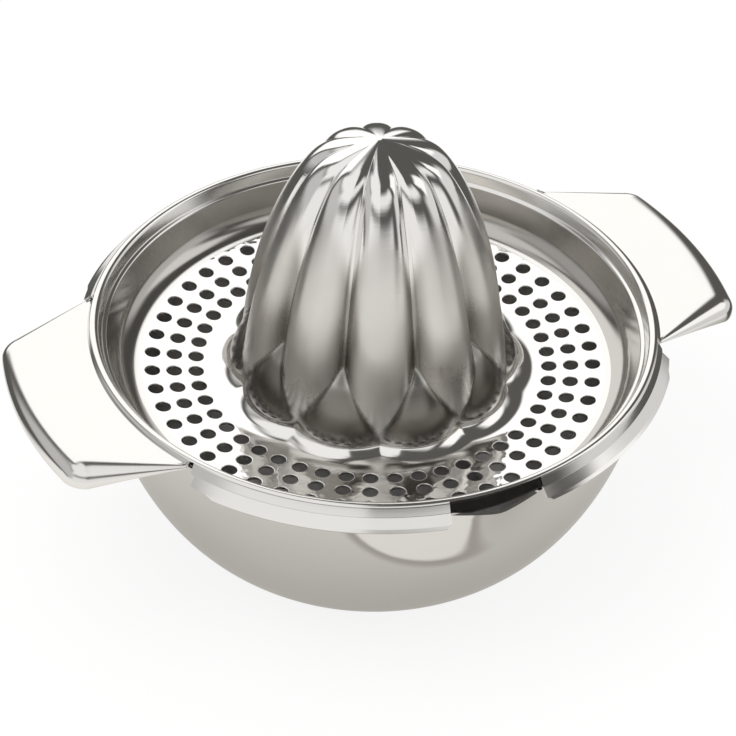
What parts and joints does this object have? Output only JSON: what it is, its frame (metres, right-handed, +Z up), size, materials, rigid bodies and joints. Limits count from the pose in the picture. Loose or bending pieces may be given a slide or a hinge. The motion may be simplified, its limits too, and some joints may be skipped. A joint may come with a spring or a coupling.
{
  "type": "citrus juicer",
  "caption": "Hand citrus juicer of pressed stainless steel: a ribbed reamer and perforated strainer with ear handles, resting on a round bowl with pouring lips.",
  "frame": {"origin": "middle of the bowl's flat base", "axes": "+Z up along the bowl's axis, +X along one handle, +Y along one pouring lip"},
  "size_m": [0.1564, 0.1246, 0.0988],
  "materials": {
    "satin_steel": "satin, very fine horizontal brushing",
    "polished_steel": "polished bright on the rim, floor and handles, satin on the reamer"
  },
  "bodies": {
    "bowl": {"bowl": "satin_steel"},
    "strainer_top": {"strainer_top": "polished_steel"}
  },
  "joints": [
    {"name": "lift_off", "type": "slide", "parent": "bowl", "child": "strainer_top", "axis": [0, 0, 1], "range_m": [0, 0.045]}
  ]
}
